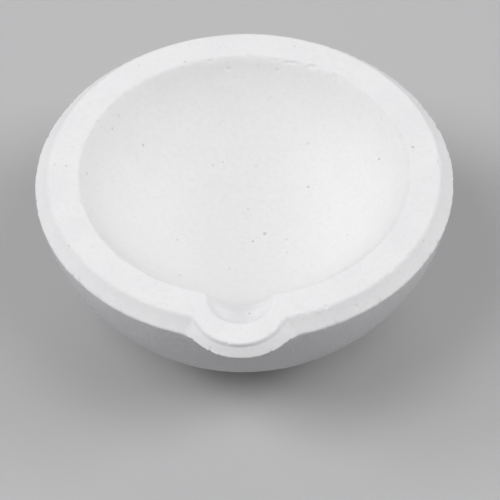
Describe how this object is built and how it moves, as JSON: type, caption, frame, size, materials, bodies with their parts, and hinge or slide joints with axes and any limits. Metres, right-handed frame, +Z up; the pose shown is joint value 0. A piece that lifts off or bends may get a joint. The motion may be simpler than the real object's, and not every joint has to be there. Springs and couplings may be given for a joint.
{
  "type": "ceramic melting crucible dish",
  "caption": "Thick hemispherical bowl of unglazed white ceramic with a broad flat rim, a bevelled edge, a rounded pouring lip with a shallow groove, and a small flat foot.",
  "frame": {"origin": "centre of the flat foot's face, on the bowl's axis", "axes": "+Z up along the bowl's axis, through the open mouth; the pouring lip points along -Y; +X to the right when the lip faces the viewer"},
  "size_m": [0.064, 0.0676, 0.027],
  "materials": {
    "fired_ceramic": "matte, unglazed, slightly porous"
  },
  "bodies": {
    "root": {"crucible_dish": "fired_ceramic"}
  },
  "joints": []
}
